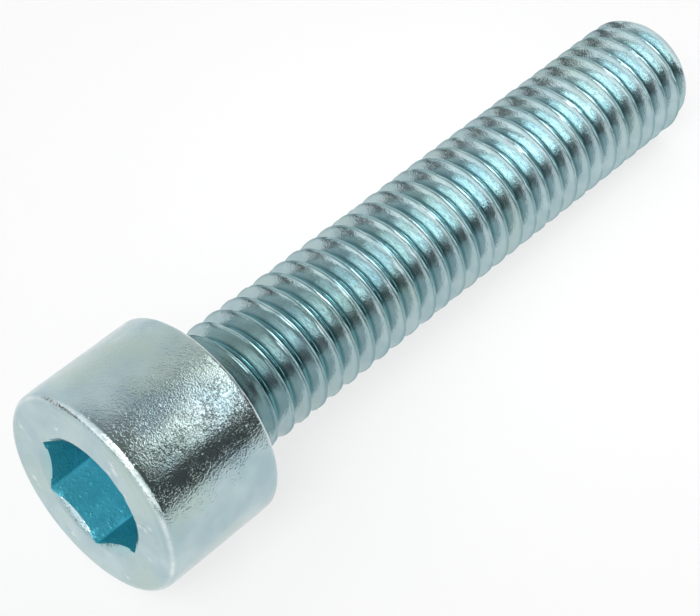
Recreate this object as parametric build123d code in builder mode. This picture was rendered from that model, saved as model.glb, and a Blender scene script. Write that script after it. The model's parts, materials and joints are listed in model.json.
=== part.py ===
# Socket-head cap screw, metric M6 x 30, threaded up to the head, lying as it comes to rest.
# Sizes are in millimetres and degrees. The screw is modelled upright: the bearing face of the head
# is at height 0, the head is below it and the shank rises to the tip. It is laid down at the end.
# The fine thread isn't cut: the shank has its outer diameter, its run-out at the neck and its chamfer.
import math
import os

from build123d import *

os.makedirs("parts", exist_ok=True)

# Thread, given by its outer diameter and its pitch, and the blank that it is rolled on
thread_d = 6.0
thread_pitch = 1.0
thread_length = 30.8
thread_r = thread_d / 2
sharp_thread_height = thread_pitch * math.cos(math.radians(30))
blank_r = thread_r - sharp_thread_height * 3 / 8

# Tip, chamfered part of the way down to the root of the thread
tip_drop = 0.3
tip_angle = 30.0
tip_chamfer = tip_drop / math.tan(math.radians(tip_angle))
tip_r = thread_r - tip_drop

# Head
head_d = 9.6
head_height = 6.0
rim_radius = 0.4
bearing_edge_radius = 0.2
head_r = head_d / 2

# Neck under the head, at the diameter of the blank, where the thread runs out on a cone.
# Its fillet ends outside the thread, so that a bored plate can slide up to the bearing face.
neck_length = 0.7
run_out_angle = 45.0
fillet_clearance = 0.1
neck_fillet = thread_r - blank_r + fillet_clearance
run_out_length = (thread_r - blank_r) / math.tan(math.radians(run_out_angle))

# Hexagon socket with rounded corners, a coned mouth a little wider than they are, and the cone
# of the punch at its bottom
key_flats = 5.0
key_clearance = 0.02
socket_depth = 3.0
socket_turn = -4.0
corner_radius = 0.25
mouth_lip = 0.03
mouth_angle = 120.0
bottom_angle = 150.0
socket_r = (key_flats + key_clearance) / 2
mouth_r = (socket_r - corner_radius) / math.cos(math.radians(30)) + corner_radius + mouth_lip
mouth_depth = mouth_r / math.tan(math.radians(mouth_angle / 2))
bottom_depth = socket_r / math.tan(math.radians(bottom_angle / 2))

with BuildPart() as screw:
    # Head, neck and shank, turned from one half section
    with BuildSketch(Plane.XZ) as half_section:
        with BuildLine():
            Polyline(
                (0, -head_height),
                (head_r, -head_height),
                (head_r, 0),
                (blank_r, 0),
                (blank_r, neck_length),
                (thread_r, neck_length + run_out_length),
                (thread_r, thread_length - tip_chamfer),
                (tip_r, thread_length),
                (0, thread_length),
                close=True,
            )
        make_face()
        fillet(half_section.vertices().sort_by_distance((head_r, -head_height))[0], rim_radius)
        fillet(half_section.vertices().sort_by_distance((head_r, 0))[0], bearing_edge_radius)
        fillet(half_section.vertices().sort_by_distance((blank_r, 0))[0], neck_fillet)
    revolve(axis=Axis.Z)

    # Hexagon socket: straight walls, then the conical bottom, then the coned mouth
    with BuildSketch(Plane.XY.offset(-head_height)) as hexagon:
        RegularPolygon(socket_r, 6, major_radius=False, rotation=socket_turn)
        fillet(hexagon.vertices(), corner_radius)
    extrude(amount=socket_depth, mode=Mode.SUBTRACT)
    with BuildSketch(Plane.XZ):
        with BuildLine():
            Polyline(
                (0, -head_height + socket_depth),
                (socket_r, -head_height + socket_depth),
                (0, -head_height + socket_depth + bottom_depth),
                close=True,
            )
        make_face()
    revolve(axis=Axis.Z, mode=Mode.SUBTRACT)
    with BuildSketch(Plane.XZ):
        with BuildLine():
            Polyline(
                (0, -head_height),
                (mouth_r, -head_height),
                (0, -head_height + mouth_depth),
                close=True,
            )
        make_face()
    revolve(axis=Axis.Z, mode=Mode.SUBTRACT)

# At rest the screw lies on the edge of its bearing face and on the shank beside the tip chamfer
edge_to_tip = thread_length - tip_chamfer + bearing_edge_radius
edge_drop = head_r - bearing_edge_radius - thread_r
rest_tilt = math.degrees(
    math.atan2(edge_drop, edge_to_tip)
    + math.asin(bearing_edge_radius / math.hypot(edge_drop, edge_to_tip))
)
with BuildPart() as cap_screw:
    with Locations(Location((0, 0, 0), (0, 90 + rest_tilt, 0))):
        add(screw.part)
rest_box = cap_screw.part.bounding_box()
rest_shift = Vector(-rest_box.center().X, -rest_box.center().Y, -rest_box.min.Z)
lying_screw = cap_screw.part.moved(Location(rest_shift))
lying_screw.label = "cap_screw"
export_step(lying_screw, "parts/cap_screw.step")
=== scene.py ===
import json
import math

import bmesh
import bpy
from mathutils import Matrix, Vector, noise


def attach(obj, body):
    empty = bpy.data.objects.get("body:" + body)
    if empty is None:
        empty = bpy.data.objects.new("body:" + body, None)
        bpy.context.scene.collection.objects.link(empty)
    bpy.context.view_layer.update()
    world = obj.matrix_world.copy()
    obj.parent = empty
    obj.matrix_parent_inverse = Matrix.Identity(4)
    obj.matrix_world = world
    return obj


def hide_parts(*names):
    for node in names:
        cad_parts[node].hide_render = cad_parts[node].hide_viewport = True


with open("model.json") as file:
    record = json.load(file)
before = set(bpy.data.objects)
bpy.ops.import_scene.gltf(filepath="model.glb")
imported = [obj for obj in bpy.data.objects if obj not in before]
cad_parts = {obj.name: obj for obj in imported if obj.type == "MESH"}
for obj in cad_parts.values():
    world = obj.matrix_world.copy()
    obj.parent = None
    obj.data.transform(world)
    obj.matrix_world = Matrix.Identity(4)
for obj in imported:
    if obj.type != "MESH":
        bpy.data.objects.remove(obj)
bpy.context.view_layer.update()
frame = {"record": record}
mounts = {mount["name"]: mount for mount in frame["record"]["mounts"]}

# the screw is built upright in millimetres, tip up, and laid where the CAD lies
unitsPerMetre = 1000
bearingPlace = Vector(mounts["bearing_face"]["pos_m"])  # middle of the face under the head
screwAxis = Vector(mounts["bearing_face"]["axis"])  # from the head to the tip
layDown = (
    Matrix.Translation(bearingPlace)
    @ Matrix.Rotation(math.atan2(screwAxis.x, screwAxis.z), 4, "Y")
    @ Matrix.Scale(1 / unitsPerMetre, 4)
)


def radiusOf(vert):
    return math.hypot(vert.co.x, vert.co.y)


def setRadius(vert, radius):
    factor = radius / max(radiusOf(vert), 1e-9)
    vert.co.x *= factor
    vert.co.y *= factor


def clamp(value):
    return min(max(value, 0), 1)


def fade(distance):
    return math.exp(-distance * distance)


def addLine(bm, points):
    # a chain of edges in the plane of radius and height, ready to be spun
    verts = [bm.verts.new((radius, 0, height)) for radius, height in points]
    return verts + [bm.edges.new(pair) for pair in zip(verts, verts[1:])]


def arcPoints(centre, radius, start, end, steps):
    # points of a rounded edge, angles in degrees
    angles = [math.radians(start + (end - start) * i / steps) for i in range(steps + 1)]
    return [(centre[0] + radius * math.cos(a), centre[1] + radius * math.sin(a)) for a in angles]


def evenly(start, end, steps):
    # the values between two ends, without the ends
    return [start + (end - start) * i / steps for i in range(1, steps)]


# the head, bearing face at height 0 and the face with the socket below it
head = {
    "radius": 4.8,
    "height": 6.0,
    "rimRadius": 0.4,
    "bearingEdge": 0.2,
    "neckRadius": 2.675,
    "neckFillet": 0.425,
    "neckEnd": 0.5,
    "draftLength": 1.3,  # the side draws in a little towards the rim
    "draft": 0.035,
    "columns": 288,
    "faceSteps": 18,
    "rimSteps": 10,
    "sideSteps": 24,
    "edgeSteps": 6,
    "bearingSteps": 6,
    "filletSteps": 8,
    "mergeDistance": 0.0005,
}
socket = {
    "flats": 2.51,  # half the distance across the flats
    "cornerRounding": 0.1,
    "cornerAngle": -4.0,
    "depth": 3.0,
    "mouthSlope": 60.0,  # of the coned mouth against the axis
    "mouthLip": 0.008,  # by which the cone reaches past the corners
    "mouthEdge": 0.015,  # width of the ring round the mouth
    "bottomSlope": 75.0,
    "bottomInset": 0.08,  # of the punch cone inside the walls
    "wallTop": 0.6,  # depth of the last plain row of the walls
    "wallSteps": 5,
    "cutShares": {0.3: -0.1, 0.2: 0.12, 0.1: 0.9},  # rows by the scalloped edge, as shares of the cone
    "cutDepth": 0.3,  # scale of the share that lies under the cone
    "rowTolerance": 0.002,
    "wallShade": (0.1, 0.7, 0.5, 0.4, 0.5, 0.9),  # painted shade of each wall, as a share of the film colour
}
cornerCentre = (socket["flats"] - socket["cornerRounding"]) / math.cos(math.radians(30))
dingZone = 0.2  # depth of the face that the dents reach
dings = [  # dents in the face: distance from the axis, angle, size and depth
    (3.70, -156, 0.16, 0.06), (3.44, -152, 0.25, 0.08), (2.98, -154, 0.13, 0.05), (2.95, -134, 0.14, 0.05),
    (3.02, -105, 0.18, 0.07), (3.28, -105, 0.22, 0.08), (3.74, -109, 0.12, 0.04), (3.92, 62, 0.16, 0.04),
    (3.90, 56, 0.13, 0.04), (3.64, 22, 0.16, 0.05), (3.86, 19, 0.14, 0.05), (4.05, -30, 0.12, 0.03),
    (3.30, 150, 0.10, 0.03), (4.10, 105, 0.13, 0.04), (3.55, -75, 0.10, 0.03),
]


def socketTurn(vert):
    # degrees round the axis from the socket's first corner
    return math.degrees(math.atan2(vert.co.y, vert.co.x)) - socket["cornerAngle"]


def hexagonRadius(vert):
    fromCorner = math.radians((socketTurn(vert) + 30) % 60 - 30)
    aside = cornerCentre * math.sin(fromCorner)
    flat = socket["flats"] / math.cos(math.radians(30) - abs(fromCorner))
    if abs(aside) >= socket["cornerRounding"]:
        return flat
    outward = math.sqrt(socket["cornerRounding"] ** 2 - aside ** 2)
    return min(flat, cornerCentre * math.cos(fromCorner) + outward)


def fromDing(vert, ding):
    distance, angle = ding[:2]
    return (vert.co.xy - Matrix.Rotation(math.radians(angle), 2) @ Vector((distance, 0))).length


def makeHead(bm):
    top = -head["height"]
    mouthRadius = cornerCentre + socket["cornerRounding"] + socket["mouthLip"]
    mouthEdge = mouthRadius + socket["mouthEdge"]
    slope = math.tan(math.radians(socket["mouthSlope"]))
    floorHeight = top + socket["depth"]
    wallTop = top + socket["wallTop"]
    wallHeights = [floorHeight] + evenly(floorHeight, wallTop, socket["wallSteps"]) + [wallTop]
    coneRadius = socket["flats"] - socket["bottomInset"]
    bottomRise = coneRadius / math.tan(math.radians(socket["bottomSlope"]))
    rimCentre = (head["radius"] - head["rimRadius"], top + head["rimRadius"])
    edgeCentre = (head["radius"] - head["bearingEdge"], -head["bearingEdge"])
    neckCentre = (head["neckRadius"] + head["neckFillet"], head["neckFillet"])

    line = [
        (0, floorHeight + bottomRise),
        (coneRadius / 2, floorHeight + bottomRise / 2),
        (coneRadius, floorHeight),
    ]
    line += [(socket["flats"], height) for height in wallHeights]
    line += [(socket["flats"], top + row) for row in socket["cutShares"]]
    line += [(mouthEdge, top)]
    line += [(radius, top) for radius in evenly(mouthEdge, rimCentre[0], head["faceSteps"])]
    line += arcPoints(rimCentre, head["rimRadius"], -90, 0, head["rimSteps"])
    line += [(head["radius"], height) for height in evenly(rimCentre[1], edgeCentre[1], head["sideSteps"])]
    line += arcPoints(edgeCentre, head["bearingEdge"], 0, 90, head["edgeSteps"])
    line += [(radius, 0) for radius in evenly(edgeCentre[0], neckCentre[0], head["bearingSteps"])]
    line += arcPoints(neckCentre, head["neckFillet"], 270, 180, head["filletSteps"])
    line += [(head["neckRadius"], head["neckEnd"])]

    geom = addLine(bm, line)
    firstTurn = Matrix.Rotation(math.radians(socket["cornerAngle"]), 3, "Z")
    bmesh.ops.rotate(bm, verts=geom[: len(line)], matrix=firstTurn)
    bmesh.ops.spin(
        bm, geom=geom, cent=(0, 0, 0), axis=(0, 0, 1), dvec=(0, 0, 0),
        angle=math.tau, steps=head["columns"], use_merge=True,
    )
    bmesh.ops.remove_doubles(bm, verts=bm.verts, dist=head["mergeDistance"])

    # the walls become a hexagon, and the cone of the mouth cuts them in scallops
    tolerance = socket["rowTolerance"]
    for vert in bm.verts:
        radius, height = radiusOf(vert), vert.co.z
        if abs(radius - socket["flats"]) < tolerance and top < height < floorHeight + tolerance / 2:
            reach = hexagonRadius(vert)
            setRadius(vert, reach)
            for row, share in socket["cutShares"].items():
                if abs(height - (top + row)) < tolerance:
                    onCone = reach + max(share, 0) * (mouthRadius - reach)
                    setRadius(vert, onCone)
                    under = max(-share, 0) * socket["cutDepth"]
                    vert.co.z = top + (mouthRadius - onCone) / slope + under

    # dents in the face, and the draft of the side
    for vert in bm.verts:
        if vert.co.z < top + dingZone:
            for ding in dings:
                size, depth = ding[2:]
                away = fromDing(vert, ding) / size
                vert.co.z += depth * fade(away) if away < 3 else 0
        reachIn = clamp((top + head["draftLength"] - vert.co.z) / head["draftLength"])
        if radiusOf(vert) > rimCentre[0] and reachIn > 0:
            setRadius(vert, radiusOf(vert) - head["draft"] * reachIn * reachIn)


# the thread, one crest to each pitch
thread = {
    "radius": 3.0,
    "pitch": 1.0,
    "length": 30.8,
    "steps": 80,  # round one turn
    "runOut": (0.62, 1.45),  # heights between which the profile rises out of the neck
    "tipDrop": 0.36,
    "tipAngle": 30.0,
    "tipCore": 1.0,  # radius that the tip's cone leaves alone
    "endRound": 0.12,
    "endRings": ((0.985, 0.04), (0.97, 0.02), (0.5, 0)),  # shrink and lift of the rings that close the end
    "nickZone": 0.1,  # depth of the crest that has nicks
    "nickSize": 0.55,
    "nickDepth": 0.05,
    "nickGain": 2,
    "nickStart": 0.4,
    "mergeDistance": 0.003,
    "cutTolerance": 1e-5,
    # radius and height of half a turn, from the middle of a crest to the middle of a groove
    "profile": [
        (2.962, 0.000), (2.972, 0.012), (2.990, 0.026), (3.000, 0.046), (2.992, 0.068), (2.962, 0.094),
        (2.880, 0.142), (2.780, 0.200), (2.680, 0.258), (2.580, 0.316), (2.500, 0.362),
        (2.440, 0.400), (2.405, 0.442), (2.392, 0.500),
    ],
}


def makeThread(bm):
    lowerHalf = [(radius, -height) for radius, height in reversed(thread["profile"][1:])]
    geom = addLine(bm, lowerHalf + thread["profile"])
    bmesh.ops.spin(
        bm, geom=geom, cent=(0, 0, 0), axis=(0, 0, 1), dvec=(0, 0, thread["pitch"] / thread["steps"]),
        angle=math.tau, steps=thread["steps"],
    )
    oneTurn = bpy.data.meshes.new("oneTurn")  # the other turns are copies of this one, a pitch apart
    bm.to_mesh(oneTurn)
    bm.clear()
    for turn in range(math.ceil(thread["length"] / thread["pitch"]) + 1):
        bm.from_mesh(oneTurn)
        oneTurn.transform(Matrix.Translation((0, 0, thread["pitch"])))
    bpy.data.meshes.remove(oneTurn)
    bmesh.ops.remove_doubles(bm, verts=bm.verts, dist=thread["mergeDistance"])

    # nicks along the crests, the run-out at the neck and the cone of the tip
    low, high = thread["runOut"]
    tipSlope = math.tan(math.radians(thread["tipAngle"]))
    for vert in bm.verts:
        radius = radiusOf(vert)
        if radius > thread["radius"] - thread["nickZone"]:
            nick = noise.noise(vert.co / thread["nickSize"]) * thread["nickGain"] - thread["nickStart"]
            radius -= clamp(nick) * thread["nickDepth"]
        share = clamp((vert.co.z - low) / (high - low))
        share = share * share * (3 - 2 * share)
        radius = head["neckRadius"] + (radius - head["neckRadius"]) * share
        cone = thread["radius"] - thread["tipDrop"] + (thread["length"] - vert.co.z) * tipSlope
        setRadius(vert, min(radius, max(cone, thread["tipCore"])))

    # both ends are cut flat, and the end of the rod is closed with a small rounding
    end = thread["length"] - thread["endRound"] / 2
    for height, isLow in ((low, True), (end, False)):
        bmesh.ops.bisect_plane(
            bm, geom=bm.verts[:] + bm.edges[:] + bm.faces[:], dist=thread["cutTolerance"],
            plane_co=(0, 0, height), plane_no=(0, 0, 1), clear_inner=isLow, clear_outer=not isLow,
        )
    ring = [edge for edge in bm.edges if edge.is_boundary and edge.verts[0].co.z > high]
    for shrink, lift in thread["endRings"]:
        made = bmesh.ops.extrude_edge_only(bm, edges=ring)["geom"]
        verts = [item for item in made if isinstance(item, bmesh.types.BMVert)]
        ring = [item for item in made if isinstance(item, bmesh.types.BMEdge) and item.is_boundary]
        bmesh.ops.scale(bm, vec=(shrink, shrink, 1), verts=verts)
        bmesh.ops.translate(bm, vec=(0, 0, lift), verts=verts)
    bmesh.ops.contextual_create(bm, geom=ring)


# film: the blue film with painted shade, deep in the grooves and wall by wall in the socket, and a share
# of it on the crest tops, which darkens them; wear: bare plating at the dents, and the bare colour as a
# painted highlight along the rim and the bearing edge
marks = {
    "grooveStart": 2.58,  # radius under which the film and the painted groove shade lie
    "grooveFade": 0.14,
    "crestStart": 2.95,
    "crestFade": 0.03,
    # part of the film colour on the crest tops, which darkens them
    "crestShare": 0.55,
    "socketReach": 2.85,
    "socketStart": 0.02,
    "dingShare": 0.7,  # of a dent's size that is bare
    # the rim and the bearing edge get the bare colour as a painted highlight
    "rimInset": 0.29,  # share of the rim's radius at which its middle lies
    "rimWidth": 0.095,
    "rimShare": 0.8,
    "bearingInset": 0.06,
    "bearingWidth": 0.1,
}


# film with painted shade in the grooves and the socket, wear with a painted highlight on the rim and the
# bearing edge
def markFilmWearAndPaintedLight(bm):
    filmAndShade = bm.verts.layers.float.new("filmAndShade")
    wearAndHighlight = bm.verts.layers.float.new("wearAndHighlight")
    top = -head["height"]
    rimInset = marks["rimInset"] * head["rimRadius"]
    rimCorner = Vector((head["radius"] - rimInset, top + rimInset))
    bearingCorner = Vector((head["radius"] - marks["bearingInset"], -marks["bearingInset"]))
    for vert in bm.verts:
        radius, height = radiusOf(vert), vert.co.z
        spot = Vector((radius, height))
        if height > head["neckEnd"]:
            # the grooves get the film colour as painted shade, and the crest tops a share of it
            inGroove = clamp((marks["grooveStart"] - radius) / marks["grooveFade"])
            onCrest = clamp((radius - marks["crestStart"]) / marks["crestFade"])
            vert[filmAndShade] = max(inGroove, marks["crestShare"] * onCrest)
        elif radius < marks["socketReach"] and top + marks["socketStart"] < height < 0:
            # each wall of the socket gets its own painted shade
            vert[filmAndShade] = socket["wallShade"][int(socketTurn(vert) % 360 // 60)]
        elif height < top + dingZone:
            for ding in dings:
                away = fromDing(vert, ding) / (marks["dingShare"] * ding[2])
                vert[wearAndHighlight] = max(vert[wearAndHighlight], fade(away))
        # painted highlight along the rim and the bearing edge
        nearRim = marks["rimShare"] * fade((spot - rimCorner).length / marks["rimWidth"])
        nearBearing = fade((spot - bearingCorner).length / marks["bearingWidth"])
        vert[wearAndHighlight] = max(vert[wearAndHighlight], nearRim, nearBearing)


# which faces get which finish, and where shading breaks
faceGroups = {
    "wallFacing": 0.85,  # the walls face the axis, and the mouth's cone doesn't
    "socketEnd": -2,
    "socketReach": 2.9,
    "bottomDepth": 2.8,
    "threadStart": 0.3,
    "sharpAngle": 28,
}


def isInSocket(face, middle, reach):
    outward = face.normal.x * middle.x + face.normal.y * middle.y
    isWall = outward < -faceGroups["wallFacing"] * reach
    isBottom = middle.z > -head["height"] + faceGroups["bottomDepth"]
    isNear = middle.z < faceGroups["socketEnd"] and reach < faceGroups["socketReach"]
    return isNear and (isWall or isBottom)


def makeScrew():
    headMesh = bmesh.new()
    makeHead(headMesh)
    print("head made,", len(headMesh.faces), "faces")
    threadMesh = bmesh.new()
    makeThread(threadMesh)
    print("thread made,", len(threadMesh.faces), "faces")
    joined = bmesh.new()
    for part in (headMesh, threadMesh):
        holder = bpy.data.meshes.new("holder")
        part.to_mesh(holder)
        joined.from_mesh(holder)
        bpy.data.meshes.remove(holder)
        part.free()
    openEdges = [edge for edge in joined.edges if edge.is_boundary]
    bmesh.ops.bridge_loops(joined, edges=openEdges)
    bmesh.ops.recalc_face_normals(joined, faces=joined.faces)
    print("open edges left:", sum(edge.is_boundary for edge in joined.edges))
    markFilmWearAndPaintedLight(joined)
    for face in joined.faces:
        middle = face.calc_center_median()
        if isInSocket(face, middle, math.hypot(middle.x, middle.y)):
            face.material_index = 1
        elif middle.z > faceGroups["threadStart"]:
            face.material_index = 2
        face.smooth = True
    bmesh.ops.transform(joined, matrix=layDown, verts=joined.verts)
    mesh = bpy.data.meshes.new("capScrew")
    joined.to_mesh(mesh)
    joined.free()
    mesh.set_sharp_from_angle(angle=math.radians(faceGroups["sharpAngle"]))
    screw = bpy.data.objects.new("capScrew", mesh)
    bpy.context.collection.objects.link(screw)
    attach(screw, "root")
    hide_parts("cap_screw")
    return screw


# bright zinc under a thin blue film, sizes in millimetres, in the order of the faces' material numbers
finishes = {
    "headZinc": {
        "pale": (0.49, 0.62, 0.64),
        "deep": (0.39, 0.53, 0.57),
        "tint": (0.45, 0.57, 0.53),
        # the film colour also paints the shade of the mouth's cone, wall by wall
        "filmAndShade": (0.34, 0.58, 0.62),
        # the bare colour also paints the highlight along the rim and the bearing edge
        "bareAndHighlight": (0.86, 0.91, 0.92),
        "cloudSize": 1.8,
        "grainSize": 0.06,
        "grainDepth": 0.006,
        "speckSize": 0.10,
        "speckDepth": 0.009,
        "roughness": (0.1, 0.17),
        "metallic": 0.96,
    },
    "socketZinc": {
        "pale": (0.16, 0.72, 0.88),
        "deep": (0.09, 0.52, 0.64),
        "tint": (0.12, 0.60, 0.72),
        # the film colour also paints the shade of the socket's walls, wall by wall
        "filmAndShade": (0.006, 0.22, 0.28),
        "bareAndHighlight": (0.60, 0.74, 0.78),
        "cloudSize": 0.9,
        "grainSize": 0.14,
        "grainDepth": 0.02,
        "speckSize": 0.16,
        "speckDepth": 0.02,
        "roughness": (0.28, 0.45),
        "metallic": 0.5,
    },
    "threadZinc": {
        "pale": (0.45, 0.575, 0.60),
        "deep": (0.375, 0.51, 0.54),
        "tint": (0.41, 0.53, 0.52),
        # the film colour also paints the shade deep in the grooves and darkens the crest tops
        "filmAndShade": (0.08, 0.24, 0.27),
        "bareAndHighlight": (0.58, 0.70, 0.71),
        "cloudSize": 1.4,
        "grainSize": 0.07,
        "grainDepth": 0.006,
        "speckSize": 0.14,
        "speckDepth": 0.003,
        "roughness": (0.12, 0.21),
        "metallic": 0.91,
    },
}
# the layers of noise in every finish; a range is taken from its first two values to its last two
layers = {
    "cloudDetail": 5,
    "cloudRange": (0.38, 0.62, 0, 1),
    "patchScale": 0.37,  # of the clouds' size
    "patchDetail": 4,
    "grainDetail": 2,
    "tintScale": 2.1,  # of the clouds' size
    "tintDetail": 2,
    "tintRange": (0.48, 0.66, 0, 0.8),
    "filmAndShadeRange": (0, 1, 0, 0.9),
    "bareAndHighlightRange": (0.36, 0.6, 0.25, 0.9),
    "roughRange": (0.3, 0.7),
    "speckDetail": 1,
    "speckRange": (0.48, 0.72, 0, 1),
    "speckPatches": (0.4, 0.6, 0.3, 1),
}
mixColours = (6, 7)  # the colour inputs of a Mix node, by number because they share their names
mixResult = 2


def newMaterial(name):
    material = bpy.data.materials.new(name)
    material.use_nodes = True
    return material, material.node_tree.nodes, material.node_tree.links


def zincFinish(name, finish):
    material, nodes, links = newMaterial(name)
    shader = nodes["Principled BSDF"]
    coords = nodes.new("ShaderNodeTexCoord")

    def addNoise(size, detail):
        node = nodes.new("ShaderNodeTexNoise")
        node.inputs["Scale"].default_value = unitsPerMetre / size
        node.inputs["Detail"].default_value = detail
        links.new(coords.outputs["Object"], node.inputs["Vector"])
        return node.outputs["Fac"]

    def addRange(source, fromLow, fromHigh, toLow, toHigh):
        node = nodes.new("ShaderNodeMapRange")
        limits = {"From Min": fromLow, "From Max": fromHigh, "To Min": toLow, "To Max": toHigh}
        for inputName, value in limits.items():
            node.inputs[inputName].default_value = value
        links.new(source, node.inputs["Value"])
        return node.outputs["Result"]

    def addMix(factor, first, second):
        node = nodes.new("ShaderNodeMix")
        node.data_type = "RGBA"
        links.new(factor, node.inputs["Factor"])
        for place, colour in zip(mixColours, (first, second)):
            if isinstance(colour, tuple):
                node.inputs[place].default_value = (*colour, 1)
            else:
                links.new(colour, node.inputs[place])
        return node.outputs[mixResult]

    def addAttribute(attributeName):
        node = nodes.new("ShaderNodeAttribute")
        node.attribute_name = attributeName
        return node.outputs["Fac"]

    def addBump(height, depth, normal=None):
        node = nodes.new("ShaderNodeBump")
        node.inputs["Strength"].default_value = 1
        node.inputs["Distance"].default_value = depth / unitsPerMetre
        links.new(height, node.inputs["Height"])
        if normal:
            links.new(normal, node.inputs["Normal"])
        return node.outputs["Normal"]

    def addProduct(first, second):
        node = nodes.new("ShaderNodeMath")
        node.operation = "MULTIPLY"
        links.new(first, node.inputs[0])
        links.new(second, node.inputs[1])
        return node.outputs[0]

    clouds = addNoise(finish["cloudSize"], layers["cloudDetail"])
    patches = addNoise(finish["cloudSize"] * layers["patchScale"], layers["patchDetail"])
    grain = addNoise(finish["grainSize"], layers["grainDetail"])
    tints = addNoise(finish["cloudSize"] * layers["tintScale"], layers["tintDetail"])
    specks = addNoise(finish["speckSize"], layers["speckDetail"])

    colour = addMix(addRange(clouds, *layers["cloudRange"]), finish["deep"], finish["pale"])
    colour = addMix(addRange(tints, *layers["tintRange"]), colour, finish["tint"])
    # the film colour, with the painted shade of the grooves and the socket's walls
    colour = addMix(addRange(addAttribute("filmAndShade"), *layers["filmAndShadeRange"]), colour, finish["filmAndShade"])
    # bare plating at the dents, and a painted highlight along the rim and the bearing edge
    bareAndHighlightEdges = addProduct(addAttribute("wearAndHighlight"), addRange(patches, *layers["bareAndHighlightRange"]))
    colour = addMix(bareAndHighlightEdges, colour, finish["bareAndHighlight"])
    links.new(colour, shader.inputs["Base Color"])

    shader.inputs["Metallic"].default_value = finish["metallic"]
    roughness = addRange(patches, *layers["roughRange"], *finish["roughness"])
    links.new(roughness, shader.inputs["Roughness"])
    speckHeight = addRange(specks, *layers["speckRange"])
    speckHeight = addProduct(speckHeight, addRange(patches, *layers["speckPatches"]))
    normal = addBump(grain, finish["grainDepth"])
    links.new(addBump(speckHeight, finish["speckDepth"], normal), shader.inputs["Normal"])
    return material


screw = makeScrew()
for finishName, finish in finishes.items():
    screw.data.materials.append(zincFinish(finishName, finish))
print("screw placed and finished,", len(screw.data.polygons), "faces")

# a sheet of pale paper
stage = {
    "floorSize": 30.0,
    "floorColour": (0.94, 0.94, 0.94),
    "roughness": 0.9,
    "specular": 0.1,
    "whiteShare": 0.7,
}
floorMesh = bmesh.new()
bmesh.ops.create_grid(floorMesh, x_segments=1, y_segments=1, size=stage["floorSize"] / 2)
floorData = bpy.data.meshes.new("floor")
floorMesh.to_mesh(floorData)
floorMesh.free()
floor = bpy.data.objects.new("floor", floorData)
bpy.context.collection.objects.link(floor)
floorMaterial, nodes, links = newMaterial("floorPaper")
paperShader = nodes["Principled BSDF"]
paperShader.inputs["Base Color"].default_value = (*stage["floorColour"], 1)
paperShader.inputs["Roughness"].default_value = stage["roughness"]
paperShader.inputs["Specular IOR Level"].default_value = stage["specular"]

# the paper shows white to the eye and in reflections, with a soft shadow
seen = nodes.new("ShaderNodeLightPath")
seenRays = seen.outputs["Is Camera Ray"]
for ray in ("Is Glossy Ray", "Is Transmission Ray"):
    either = nodes.new("ShaderNodeMath")
    either.operation = "MAXIMUM"
    links.new(seenRays, either.inputs[0])
    links.new(seen.outputs[ray], either.inputs[1])
    seenRays = either.outputs[0]
share = nodes.new("ShaderNodeMath")
share.operation = "MULTIPLY"
share.inputs[1].default_value = stage["whiteShare"]
links.new(seenRays, share.inputs[0])
white = nodes.new("ShaderNodeEmission")
paper = nodes.new("ShaderNodeMixShader")
links.new(share.outputs[0], paper.inputs[0])
links.new(paperShader.outputs[0], paper.inputs[1])
links.new(white.outputs[0], paper.inputs[2])
links.new(paper.outputs[0], nodes["Material Output"].inputs["Surface"])
floorData.materials.append(floorMaterial)

# brightness of the room round the screw's axis, in degrees from straight up, front side positive
room = {
    "middle": [
        (-180, 0.85), (-60, 0.9), (-42, 0.75), (-30, 0.45), (-14, 0.3), (4, 0.24), (20, 0.14), (55, 0.07),
        (88, 0.05), (92, 0.5), (180, 0.85),
    ],
    "tipSide": [
        (-180, 0.85), (-60, 0.85), (-35, 0.8), (-18, 0.62), (-10, 0.28), (4, 0.19), (13, 0.21), (19, 0.4),
        (30, 0.46), (38, 0.36), (46, 0.2), (56, 0.08), (88, 0.06), (92, 0.5), (180, 0.85),
    ],
    "toMiddle": (-0.4, -0.1),  # along X, from the head's side to the tip's
    "toTip": (0.355, 0.44),
    "headSide": [  # by height: a dark line on the horizon and plain light above
        (0, 0.04), (0.07, 0.05), (0.15, 1.7), (0.3, 1.6), (0.5, 1.1), (1, 1.0),
    ],
    "toBack": (0.4, 0.58),  # along Y
    "backCorner": [(0, 0.03), (0.17, 0.04), (0.26, 1.2), (0.5, 1.0), (1, 1.0)],
}
world = bpy.data.worlds.new("room")
bpy.context.scene.world = world
world.use_nodes = True
nodes, links = world.node_tree.nodes, world.node_tree.links
coord = nodes.new("ShaderNodeTexCoord")
split = nodes.new("ShaderNodeSeparateXYZ")
links.new(coord.outputs["Generated"], split.inputs[0])


def grey(level):
    return (level, level, level, 1)


def addStep(source, limits):
    step = nodes.new("ShaderNodeMapRange")
    step.interpolation_type = "SMOOTHSTEP"
    step.inputs["From Min"].default_value, step.inputs["From Max"].default_value = limits
    links.new(source, step.inputs["Value"])
    return step.outputs["Result"]


def addBands(source, bands):
    ramp = nodes.new("ShaderNodeValToRGB")
    elements = ramp.color_ramp.elements
    start, end = bands[0][0], bands[-1][0]
    for place, level in bands[1:-1]:
        elements.new((place - start) / (end - start)).color = grey(level)
    elements[0].color = grey(bands[0][1])
    elements[-1].color = grey(bands[-1][1])
    links.new(source, ramp.inputs["Fac"])
    return ramp.outputs["Color"]


def addBlend(factor, first, second):
    mix = nodes.new("ShaderNodeMix")
    mix.data_type = "RGBA"
    links.new(factor, mix.inputs[0])
    for place, source in zip(mixColours, (first, second)):
        links.new(source, mix.inputs[place])
    return mix.outputs[mixResult]


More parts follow.
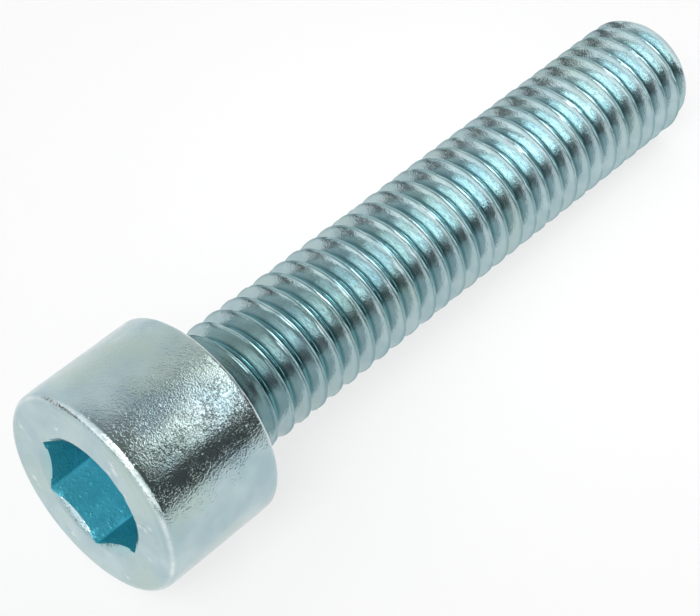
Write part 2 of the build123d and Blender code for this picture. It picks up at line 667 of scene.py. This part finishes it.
# the angle round the screw's axis, as a share of the whole turn
flip = nodes.new("ShaderNodeMath")
flip.operation = "MULTIPLY"
flip.inputs[1].default_value = -1
angle = nodes.new("ShaderNodeMath")
angle.operation = "ARCTAN2"
spread = nodes.new("ShaderNodeMapRange")
spread.inputs["From Min"].default_value = -math.pi
spread.inputs["From Max"].default_value = math.pi
links.new(split.outputs["Y"], flip.inputs[0])
links.new(flip.outputs[0], angle.inputs[0])
links.new(split.outputs["Z"], angle.inputs[1])
links.new(angle.outputs[0], spread.inputs["Value"])
around = spread.outputs["Result"]

light = addBands(split.outputs["Z"], room["headSide"])
backCorner = addBands(split.outputs["Z"], room["backCorner"])
light = addBlend(addStep(split.outputs["Y"], room["toBack"]), light, backCorner)
light = addBlend(addStep(split.outputs["X"], room["toMiddle"]), light, addBands(around, room["middle"]))
light = addBlend(addStep(split.outputs["X"], room["toTip"]), light, addBands(around, room["tipSide"]))
links.new(light, nodes["Background"].inputs["Color"])

# a soft box over the head, a strip across the screw, and a row of spots along the thread's reflection
lamps = {
    "softBox": {
        "place": (-0.33, -0.12, 0.486),
        "aim": (0, 0, 0),
        "size": (0.25, 0.25),
        "energy": 1.1,
    },
    "strip": {
        "place": (0.0525, -0.03, 0.1),
        "aim": (0.0525, -0.03, 0),
        "size": (0.014, 0.086),
        "energy": 0.011,
    },
}
spotRow = {
    "start": (0.0745, -0.128, 0.1),
    "end": (0.0385, 0.044, 0.1),
    "count": 12,
    "aim": (0.009, 0, 0.005),
    "size": (0.016, 0.016),
    "energy": 0.000082,
    "spread": 20.0,  # in degrees
}


def addLamp(name, place, lamp):
    lampData = bpy.data.lights.new(name, "AREA")
    lampData.shape = "RECTANGLE"
    lampData.size, lampData.size_y = lamp["size"]
    lampData.energy = lamp["energy"]
    lampObject = bpy.data.objects.new(name, lampData)
    lampObject.location = place
    towards = Vector(lamp["aim"]) - Vector(place)
    lampObject.rotation_euler = towards.to_track_quat("-Z", "Y").to_euler()
    bpy.context.collection.objects.link(lampObject)
    return lampData


for lampName, lamp in lamps.items():
    addLamp(lampName, lamp["place"], lamp)
for i in range(spotRow["count"]):
    along = i / (spotRow["count"] - 1)
    place = Vector(spotRow["start"]).lerp(Vector(spotRow["end"]), along)
    spot = addLamp(f"spot{i + 1}", place, spotRow)
    spot.spread = math.radians(spotRow["spread"])

# the camera, in the upright screw's millimetres
view = {
    "place": (-65.27764, -39.2008, -37.24987),
    "forward": (0.73491421, 0.43569177, 0.51968625),
    "lens": 104.8,
    "sensor": 36,
    "clipStart": 0.001,  # in metres
}
cameraData = bpy.data.cameras.new("camera")
cameraData.lens = view["lens"]
cameraData.sensor_width = view["sensor"]
cameraData.sensor_fit = "HORIZONTAL"
cameraData.clip_start = view["clipStart"]
camera = bpy.data.objects.new("camera", cameraData)
camera.location = layDown @ Vector(view["place"])
lookAlong = layDown.to_3x3() @ Vector(view["forward"])
camera.rotation_euler = lookAlong.to_track_quat("-Z", "Y").to_euler()
bpy.context.collection.objects.link(camera)
bpy.context.scene.camera = camera
bpy.context.scene.view_settings.view_transform = "Standard"
print("stage and camera set")
